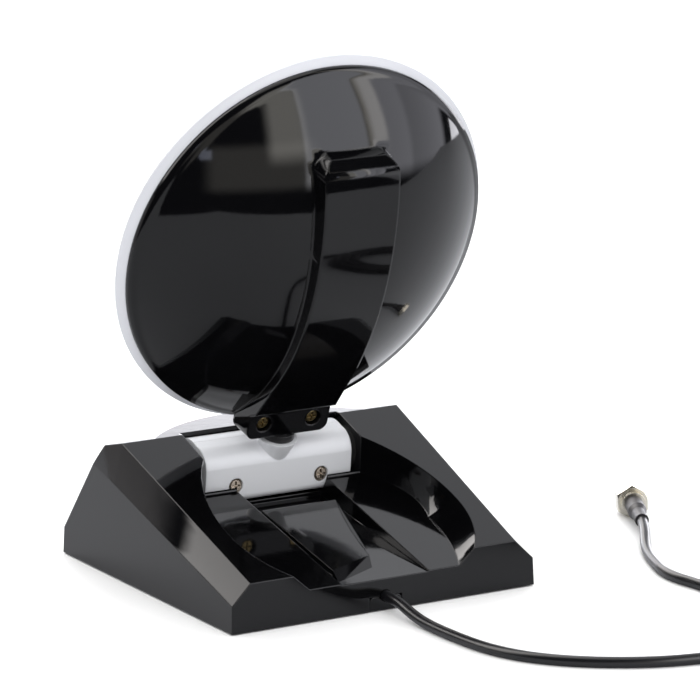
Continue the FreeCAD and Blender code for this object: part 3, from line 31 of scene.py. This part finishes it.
# %% CAD part
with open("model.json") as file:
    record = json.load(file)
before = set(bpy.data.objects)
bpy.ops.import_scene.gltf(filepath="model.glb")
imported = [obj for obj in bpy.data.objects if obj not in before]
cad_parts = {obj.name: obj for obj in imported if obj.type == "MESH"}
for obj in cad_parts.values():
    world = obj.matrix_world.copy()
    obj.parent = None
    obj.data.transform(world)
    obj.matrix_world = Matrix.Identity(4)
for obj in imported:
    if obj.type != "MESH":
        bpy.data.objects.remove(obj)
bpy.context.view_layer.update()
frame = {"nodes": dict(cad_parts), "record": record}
nodes = frame["nodes"]

# %% [markdown]
# ## Camera
# The photograph was taken from behind the antenna and to its left, a little above the table, with a long
# lens from about 1.6 m. A camera can be placed by eye or worked out from straight edges. The base has long
# straight edges that stay nearly parallel, so they give the viewing angle and the lens.

# %% Camera from the base's vanishing lines
azimuth, elevation = math.radians(149.012), math.radians(12.813)
camera_place = (0.79227, 1.35749, 0.43889)
film_width_mm, focal_length_mm = 36, 231.43


def shown(thing):
    """Puts an object into the scene."""
    bpy.context.scene.collection.objects.link(thing)
    return thing


to_camera = Vector((math.sin(azimuth) * math.cos(elevation),
                    -math.cos(azimuth) * math.cos(elevation),
                    math.sin(elevation)))
lens = bpy.data.cameras.new("photo_lens")
lens.sensor_width = film_width_mm
lens.lens = focal_length_mm
camera = shown(bpy.data.objects.new("photo_camera", lens))
camera.location = camera_place
camera.rotation_euler = to_camera.to_track_quat("Z", "Y").to_euler()
bpy.context.scene.camera = camera
print("camera", [round(v, 3) for v in camera.location])

# %% [markdown]
# ## Cord
# A thin round coaxial cord with a soft black jacket. It leaves the hole in the base's rear wall, drops to
# the table and swings away to the side, and its plug comes back into view from the far side. The length
# between is wound up as for storage, six turns in two layers. A cord could be a row of tubes and arcs, but
# that looks like bent wire. One NURBS curve with the route's points as its control points stays smooth.

# %% Route of the cord
rest = 0.00195  # half the cord's thickness, so also the height of its middle on the table
out_of_base = [(0, 0.06275, 0.0055), (0, 0.07125, 0.0054), (0.0001, 0.07975, 0.0032),
               (0.0003, 0.08975, rest), (0.0001, 0.10675, rest), (-0.0015, 0.12425, rest),
               (-0.0058, 0.1366, rest), (-0.0118, 0.1458, rest), (-0.019, 0.1533, rest),
               (-0.0269, 0.1594, rest), (-0.0356, 0.1647, rest), (-0.0448, 0.1689, rest),
               (-0.0551, 0.1717, rest), (-0.067, 0.174, rest), (-0.080, 0.176, rest),
               (-0.094, 0.1773, rest), (-0.106, 0.178, rest)]
back_to_plug = [(-0.1322, 0.1338, 0.0052), (-0.1266, 0.1286, 0.0042), (-0.1210, 0.1230, 0.0028),
                (-0.1148, 0.1164, rest), (-0.1106, 0.1072, rest), (-0.1094, 0.0950, rest),
                (-0.1079, 0.0865, rest), (-0.1086, 0.0765, rest), (-0.1124, 0.0664, rest),
                (-0.1166, 0.0562, rest), (-0.121, 0.0472, 0.0026)]
plug_turn = math.radians(27.1)
plug_axis = Vector((-math.sin(plug_turn), -math.cos(plug_turn), 0))
nut_face = Vector((-0.150, -0.005, 0.0057))
plug_length, straight_run, straight_height = 0.0346, 0.008, 0.0051
sleeve_end = nut_face - plug_axis * plug_length
sleeve_run = sleeve_end - plug_axis * straight_run
back_to_plug += [(sleeve_run.x, sleeve_run.y, straight_height), tuple(sleeve_end)]
print(len(out_of_base), "points out of the base and", len(back_to_plug), "back to the plug")

# %% Put-away coil
coil_centre = Vector((-0.112, 0.152, 0))
coil_radius, coil_start = 0.022, math.radians(100)
last_radius, last_points = 0.0262, 5
pitch = rest * 2
layer_rise = pitch * 0.96
turn_points, change_points = 16, 3
rows = [(coil_radius + pitch, rest), (coil_radius, rest), (coil_radius - pitch, rest),
        (coil_radius - pitch, rest + layer_rise), (coil_radius, rest + layer_rise),
        (coil_radius + pitch, rest + layer_rise)]


def coil_point(step, radius, height):
    """Control point of a turn, a little outside the circle that the curve then follows."""
    angle = coil_start + math.tau * step / turn_points
    reach = radius / math.cos(math.pi / turn_points)
    return (coil_centre.x + reach * math.cos(angle), coil_centre.y + reach * math.sin(angle), height)


coil = []
for number, (radius, height) in enumerate(rows):
    next_radius, next_height = rows[min(number + 1, len(rows) - 1)]
    for step in range(turn_points):
        share = max(0, (step - turn_points + change_points) / change_points)
        coil.append(coil_point(step, radius + (next_radius - radius) * share,
                               height + (next_height - height) * share))
coil += [coil_point(step, last_radius, rows[-1][1]) for step in range(last_points)]
print(len(rows), "turns,", len(coil), "points, middle radius", coil_radius)


# %% Cord as one curve
def cord_curve(name, points, radius):
    """The bevel is a unit circle, so each point's radius is the tube's own."""
    curve = bpy.data.curves.new(name, "CURVE")
    curve.dimensions = "3D"
    curve.resolution_u = 8
    curve.bevel_depth = 1
    curve.bevel_resolution = 5
    spline = curve.splines.new("NURBS")
    spline.points.add(len(points) - 1)
    for point, place in zip(spline.points, points):
        point.co = (*place, 1)
        point.radius = radius
    spline.order_u = 3
    spline.use_endpoint_u = True
    return shown(bpy.data.objects.new(name, curve))


cord = cord_curve("coax_cord", out_of_base + coil + back_to_plug, rest)
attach(cord, "base")
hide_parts("cord_tube", "cord_coil", "cord_tail")
print("cord of", len(cord.data.splines[0].points), "control points")

# %% [markdown]
# ## Rim of the head
# The dish and its white cover meet in one line that stays in view all the way round, so the black shell
# can't stand up square behind it. The mesh could be pulled in by hand, but a cut keeps the dome as it is: a
# ring about the dish's axis takes the corner off the shell's edge, as a lathe would, and leaves a bevel from
# the seam to the dome. The shell's wall is thick enough for it.

# %% Bevel on the shell's edge
lean = math.radians(19.7)
dish_middle = Vector((0, 0.0058, 0.12216))
dish_back = Vector((0, math.cos(lean), -math.sin(lean)))
dish_up = Vector((0, math.sin(lean), math.cos(lean)))
seam_radius, seam_play = 0.0705, 0.00002
bevel_start, bevel_end = 0.00025, 0.0053
dome_radius, tool_radius, tool_back = 0.0672, 0.0720, 0.0060


def mesh_piece(name, points, faces):
    mesh = bpy.data.meshes.new(name)
    mesh.from_pydata(points, [], faces)
    return shown(bpy.data.objects.new(name, mesh))


def turned_ring(name, section, steps=360):
    """Closed ring about the dish axis; the section's points are (radius, distance behind the seam)."""
    points = []
    for step in range(steps):
        angle = math.tau * step / steps
        out = Vector((math.cos(angle), 0, 0)) + dish_up * math.sin(angle)
        points += [dish_middle + out * radius + dish_back * back for radius, back in section]
    count = len(section)
    faces = [(step * count + side, step * count + (side + 1) % count,
              (step + 1) % steps * count + (side + 1) % count, (step + 1) % steps * count + side)
             for step in range(steps) for side in range(count)]
    return mesh_piece(name, points, faces)


bevel_tool = turned_ring("rim_bevel_tool", [(seam_radius + seam_play, bevel_start), (dome_radius, bevel_end),
                                            (tool_radius, tool_back), (tool_radius, bevel_start)])
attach(bevel_tool, "head")
bevel_tool.hide_render = True
bevel_tool.hide_viewport = True
turning = nodes["rear_shell"].modifiers.new("rim_bevel", "BOOLEAN")
turning.operation = "DIFFERENCE"
turning.solver = "EXACT"
turning.object = bevel_tool
print("bevel tool of", len(bevel_tool.data.polygons), "faces")

# %% [markdown]
# ## Ramp in the valley
# The ramp between the rails of the base falls evenly and runs almost to the rear edge, where it is cut at a
# slant. A box with moved corners would crease its top, so the outline is drawn in plan and the height comes
# from the even fall, which keeps the top flat. The foot of its end lies on the valley.

# %% Ramp
ramp_start, ramp_crest, ramp_fall, ramp_skirt = 0.0033, 0.0249, 0.2086, 0.004
ramp_plan = [(0.0158, 0.0526), (0.0158, ramp_start), (-0.0150, ramp_start), (-0.0128, 0.0092),
             (-0.0103, 0.0165), (-0.0083, 0.0230), (-0.0068, 0.0282), (-0.0047, 0.0373), (-0.0030, 0.0465)]
ramp_foot = [(-0.0006, 0.0526, 0.0128), (0.0175, 0.0606, 0.0115)]
ramp_top = [(x, y, ramp_crest - ramp_fall * (y - ramp_start)) for x, y in ramp_plan]
ramp_low = [(x, y, z - ramp_skirt) for x, y, z in ramp_top]
corners = len(ramp_plan)
foot_right, foot_left = corners * 2, corners * 2 + 1
ramp_faces = [tuple(range(corners)), (corners - 1, foot_right, foot_left, 0)]
ramp_faces += [(side, corners + side, corners + side + 1, side + 1) for side in range(corners - 1)]
ramp = mesh_piece("ramp_cap", ramp_top + ramp_low + ramp_foot, ramp_faces)
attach(ramp, "base")
print("ramp", len(ramp_faces), "faces")

# %% [markdown]
# ## Materials
# The pieces are moulded plastic, plated metal and a soft jacket. A picture of each could be wrapped round
# it, but shader nodes stay sharp at any distance and need no unwrapping. Moulded gloss plastic has a faint
# orange peel and fine scuffs that show only in its reflections, so roughness and bump carry the detail.


# %% Node tools
def new_material(name, colour, roughness, metallic=0.0, specular=0.5):
    made = bpy.data.materials.new(name)
    made.use_nodes = True
    shader = made.node_tree.nodes["Principled BSDF"]
    shader.inputs["Base Color"].default_value = (*colour, 1)
    shader.inputs["Roughness"].default_value = roughness
    shader.inputs["Metallic"].default_value = metallic
    shader.inputs["Specular IOR Level"].default_value = specular
    return made, made.node_tree, shader


def feed(tree, value, socket):
    """Gives a socket another node's output, a colour or a number."""
    if isinstance(value, bpy.types.NodeSocket):
        tree.links.new(value, socket)
    elif isinstance(value, tuple):
        socket.default_value = (*value, 1)
    else:
        socket.default_value = value


def colour_mix(tree, share, first, second, way="MIX"):
    mix = tree.nodes.new("ShaderNodeMix")
    mix.data_type = "RGBA"
    mix.blend_type = way
    for value, place in ((share, 0), (first, 6), (second, 7)):
        feed(tree, value, mix.inputs[place])
    return mix.outputs[2]


def noise(tree, scale, detail=3.0, stretch=None):
    """Three-dimensional noise in the object's own metres."""
    source = tree.nodes.new("ShaderNodeTexCoord").outputs["Object"]
    pattern = tree.nodes.new("ShaderNodeTexNoise")
    pattern.inputs["Scale"].default_value = scale
    pattern.inputs["Detail"].default_value = detail
    if stretch:
        mapping = tree.nodes.new("ShaderNodeMapping")
        mapping.inputs["Scale"].default_value = stretch
        tree.links.new(source, mapping.inputs["Vector"])
        source = mapping.outputs["Vector"]
    tree.links.new(source, pattern.inputs["Vector"])
    return pattern.outputs["Fac"]


def spread(tree, value, low, high, from_low=0.3, from_high=0.7):
    """Maps a pattern's value on to a range."""
    mapped = tree.nodes.new("ShaderNodeMapRange")
    mapped.inputs["From Min"].default_value = from_low
    mapped.inputs["From Max"].default_value = from_high
    mapped.inputs["To Min"].default_value = low
    mapped.inputs["To Max"].default_value = high
    tree.links.new(value, mapped.inputs["Value"])
    return mapped.outputs["Result"]


def bumped(tree, shader, height, strength, distance, edge_radius):
    """Relief of a surface, on edges with the small round that a mould or a tumbling drum leaves."""
    edge = tree.nodes.new("ShaderNodeBevel")
    edge.samples = 6
    edge.inputs["Radius"].default_value = edge_radius
    bump = tree.nodes.new("ShaderNodeBump")
    bump.inputs["Strength"].default_value = strength
    bump.inputs["Distance"].default_value = distance
    tree.links.new(height, bump.inputs["Height"])
    tree.links.new(edge.outputs["Normal"], bump.inputs["Normal"])
    tree.links.new(bump.outputs["Normal"], shader.inputs["Normal"])


def tinted(tree, shader, value, low, high):
    """Small variation of the base colour between two colours."""
    tree.links.new(colour_mix(tree, value, low, high), shader.inputs["Base Color"])


# %% Kinds of finish
def gloss_plastic(name, dark, light, roughness, peel, edge):
    made, tree, shader = new_material(name, dark, roughness, specular=0.32)
    tinted(tree, shader, noise(tree, 60), dark, light)
    scuffs = noise(tree, 420, 4)
    tree.links.new(spread(tree, scuffs, roughness * 0.85, roughness * 1.3), shader.inputs["Roughness"])
    bumped(tree, shader, noise(tree, 260, 1), peel, 0.0001, edge)
    return made


def smooth_plastic(name, dark, light, roughness, edge):
    """Light plastic, whose gloss hides no marks and whose colour hardly varies."""
    made, tree, shader = new_material(name, dark, roughness)
    tinted(tree, shader, noise(tree, 25, 1), dark, light)
    bumped(tree, shader, noise(tree, 90, 1), 0.02, 0.0001, edge)
    return made


def satin_plastic(name, dark, light, roughness, edge=0.0003):
    made, tree, shader = new_material(name, dark, roughness)
    tinted(tree, shader, noise(tree, 120), dark, light)
    bumped(tree, shader, noise(tree, 2600, 2), 0.35, 0.00008, edge)
    return made


def metal(name, dark, light, roughness, grain, edge=0.00015):
    made, tree, shader = new_material(name, dark, roughness, 1.0)
    tinted(tree, shader, noise(tree, 300), dark, light)
    lines = noise(tree, 1800, 2, grain)
    tree.links.new(spread(tree, lines, roughness * 0.75, roughness * 1.4), shader.inputs["Roughness"])
    bumped(tree, shader, lines, 0.15, 0.00005, edge)
    return made


# %% Materials of the pieces
black_low, black_high = (0.0014, 0.0014, 0.0017), (0.0022, 0.0022, 0.0026)
finish = {
    "black_plastic": gloss_plastic("black_gloss", black_low, black_high, 0.06, 0.08, 0.0006),
    "head_shell": gloss_plastic("black_gloss_head", black_low, black_high, 0.055, 0.05, 0.0012),
    "white_plastic": smooth_plastic("white_gloss", (0.70, 0.71, 0.74), (0.72, 0.73, 0.76), 0.36, 0.0008),
    # The cover is the same white plastic as the barrel, set darker: painted shade that keeps its rim grey
    # against the white table.
    "cover_white": smooth_plastic("white_gloss_cover_painted_shade", (0.55, 0.56, 0.60), (0.57, 0.58, 0.62), 0.34,
                                  0.0008),
    "black_nylon": satin_plastic("black_nylon", (0.010, 0.010, 0.011), (0.018, 0.018, 0.019), 0.38),
    "white_nylon": satin_plastic("white_nylon", (0.74, 0.74, 0.72), (0.80, 0.80, 0.78), 0.45),
    "rubber_black": satin_plastic("foot_rubber", (0.020, 0.020, 0.020), (0.032, 0.032, 0.032), 0.75),
    "cord_jacket": satin_plastic("cord_jacket", (0.003, 0.003, 0.004), (0.005, 0.005, 0.006), 0.30),
    "shrink_tube": satin_plastic("shrink_tube", (0.008, 0.007, 0.008), (0.014, 0.012, 0.014), 0.48),
    "board_green": satin_plastic("board_mask", (0.010, 0.090, 0.035), (0.016, 0.120, 0.050), 0.35),
    "white_dielectric": satin_plastic("dielectric", (0.80, 0.80, 0.77), (0.86, 0.86, 0.84), 0.5),
    "zinc_screw": metal("zinc", (0.26, 0.21, 0.16), (0.40, 0.35, 0.29), 0.32, (1, 1, 6)),
    "gold_screw": metal("yellow_zinc", (0.12, 0.09, 0.04), (0.34, 0.26, 0.12), 0.30, (1, 1, 6)),
    "sheet_steel": metal("sheet_steel", (0.42, 0.43, 0.44), (0.56, 0.57, 0.58), 0.38, (1, 8, 1)),
    "tin_plate": metal("tin_plate", (0.62, 0.62, 0.62), (0.72, 0.72, 0.71), 0.25, (1, 8, 1)),
    "aluminium_sheet": metal("aluminium_sheet", (0.70, 0.71, 0.72), (0.80, 0.81, 0.82), 0.30, (1, 8, 1)),
    "nickel": metal("nickel", (0.70, 0.66, 0.56), (0.78, 0.74, 0.64), 0.20, (6, 6, 1)),
    "pin_copper": metal("copper", (0.72, 0.42, 0.28), (0.82, 0.52, 0.36), 0.30, (1, 1, 6)),
}
finish_of = {entry["node"]: entry["material_slot"] for entry in frame["record"]["subparts"]}
finish_of.update(rear_shell="head_shell", front_cover="cover_white")
for name, piece in nodes.items():
    piece.data.materials.clear()
    piece.data.materials.append(finish[finish_of[name]])
ramp.data.materials.append(finish["black_plastic"])
cord.data.materials.append(finish["cord_jacket"])
print(len(finish), "materials on", len(nodes), "nodes")

# %% [markdown]
# ## Table
# The antenna stands on a white table whose near edge is close behind the camera's side of it. Light paper
# would show too bright in the glossy plastic, so rays that come from a reflection see a greyer paper.

# %% Table
white_paper, mirrored_paper = (0.94, 0.94, 0.94), (0.60, 0.61, 0.64)
table = mesh_piece("table", [(-3, -3, 0), (0.62, -3, 0), (0.62, 0.0, 0), (0.30, 0.50, 0), (-3, 0.50, 0)],
                   [(0, 1, 2, 3, 4)])
paper, paper_tree, paper_shader = new_material("table_paper", white_paper, 0.55, specular=0.2)
seen_by = paper_tree.nodes.new("ShaderNodeLightPath")
tinted(paper_tree, paper_shader, seen_by.outputs["Is Glossy Ray"], white_paper, mirrored_paper)
table.data.materials.append(paper)
print("table of", len(table.data.vertices), "corners")

# %% [markdown]
# ## Surroundings
# Glossy black plastic shows little but the studio round it: a bright sweep and soft boxes above and to the
# right. Real panels would have to stand just where the mirror of the dish sees them, and they would light
# the white table too. So the boxes are painted on the surroundings, for reflections alone, by their bearing
# and height, and all other rays meet plain white.

# %% Tools for the surroundings
world = bpy.data.worlds.new("studio")
world.use_nodes = True
bpy.context.scene.world = world
sky = world.node_tree
background = sky.nodes["Background"]
background.inputs["Strength"].default_value = 1


def calculated(operation, *values):
    node = sky.nodes.new("ShaderNodeMath")
    node.operation = operation
    for value, socket in zip(values, node.inputs):
        feed(sky, value, socket)
    return node.outputs[0]


def window(value, low, high, soft):
    """1 between low and high, with soft edges outside them."""
    edges = []
    for start, end in ((low - soft, low), (high + soft, high)):
        edge = sky.nodes.new("ShaderNodeMapRange")
        edge.interpolation_type = "SMOOTHSTEP"
        edge.inputs["From Min"].default_value = start
        edge.inputs["From Max"].default_value = end
        sky.links.new(value, edge.inputs["Value"])
        edges.append(edge.outputs["Result"])
    return calculated("MULTIPLY", *edges)


outlook = sky.nodes.new("ShaderNodeTexCoord")
apart = sky.nodes.new("ShaderNodeSeparateXYZ")
sky.links.new(outlook.outputs["Generated"], apart.inputs[0])
to_degrees = 180 / math.pi
turned = calculated("ARCTAN2", apart.outputs["Y"], apart.outputs["X"])
bearing = calculated("MULTIPLY", turned, to_degrees)
height = calculated("MULTIPLY", calculated("ARCSINE", apart.outputs["Z"]), to_degrees)


def soft_box(bearings, heights, soft, strength, tint):
    """A glow between two bearings, counted from +X towards +Y, and two heights above the horizon."""
    mask = calculated("MULTIPLY", window(bearing, *bearings, soft[0]), window(height, *heights, soft[1]))
    return colour_mix(sky, mask, (0, 0, 0), tuple(strength * part for part in tint))


# %% Soft boxes
boxes = [soft_box((100, 128), (-3, 42), (2, 6), 3.9, (0.92, 0.93, 1.0)),
         soft_box((134, 150), (-3, 42), (4, 6), 3.2, (0.92, 0.92, 1.0)),
         soft_box((154, 172), (-3, 42), (4, 6), 2.2, (0.92, 0.92, 1.0)),
         soft_box((87, 97), (10, 30), (6, 9), 3.4, (1.0, 0.97, 0.90)),
         soft_box((62, 99), (-4, 9), (8, 5), 0.8, (1.0, 0.96, 0.88)),
         soft_box((131, 138), (8, 60), (3, 8), 3.2, (1.0, 0.95, 0.86)),
         soft_box((55, 59), (7, 10), (1, 1), 3.0, (0.75, 0.80, 1.0)),
         soft_box((-110, -15), (24, 70), (8, 6), 5.0, (1.0, 0.97, 0.95)),
         soft_box((-180, 180), (74, 90), (1, 6), 1.6, (1.0, 0.99, 0.97)),
         soft_box((-180, -120), (30, 70), (6, 8), 1.1, (0.95, 0.96, 1.0)),
         soft_box((-180, -95), (-40, 8), (1, 10), 7.5, (0.95, 0.95, 1.0)),
         soft_box((-80, -20), (-40, 6), (12, 12), 0.8, (1.0, 0.96, 0.96))]
room_dark, room_white = (0.025, 0.026, 0.032), (1.0, 1.0, 1.0)
glow = boxes[0]
for box in boxes[1:] + [room_dark]:
    glow = colour_mix(sky, 1, glow, box, "ADD")
rays = sky.nodes.new("ShaderNodeLightPath")
sky.links.new(colour_mix(sky, rays.outputs["Is Glossy Ray"], room_white, glow), background.inputs["Color"])
bpy.context.scene.view_settings.view_transform = "Standard"
print(len(boxes), "soft boxes")

# %% [markdown]
# ## Lamps
# Three large lamps stand above, in front and on the camera's side. Small lamps would give hard shadows,
# which the photograph doesn't have. They are hidden from reflections, because the painted boxes stand there.


# %% Lamps
def area_lamp(name, place, look_at, width, depth, power):
    light = bpy.data.lights.new(name, "AREA")
    light.shape = "RECTANGLE"
    light.size = width
    light.size_y = depth
    light.energy = power
    lamp = shown(bpy.data.objects.new(name, light))
    lamp.location = place
    lamp.rotation_euler = (Vector(look_at) - Vector(place)).to_track_quat("-Z", "Y").to_euler()
    lamp.visible_glossy = False
    print(name, power, "W")


area_lamp("softbox_above", (0.1, 0.3, 1.5), (0, 0, 0.05), 1.2, 1.2, 6)
area_lamp("softbox_back", (-0.6, -1.0, 1.2), (-0.3, -0.6, 0), 1.6, 1.2, 12)
area_lamp("softbox_camera_side", (1.0, 1.5, 1.1), (0, 0, 0.06), 1.2, 1.2, 11)
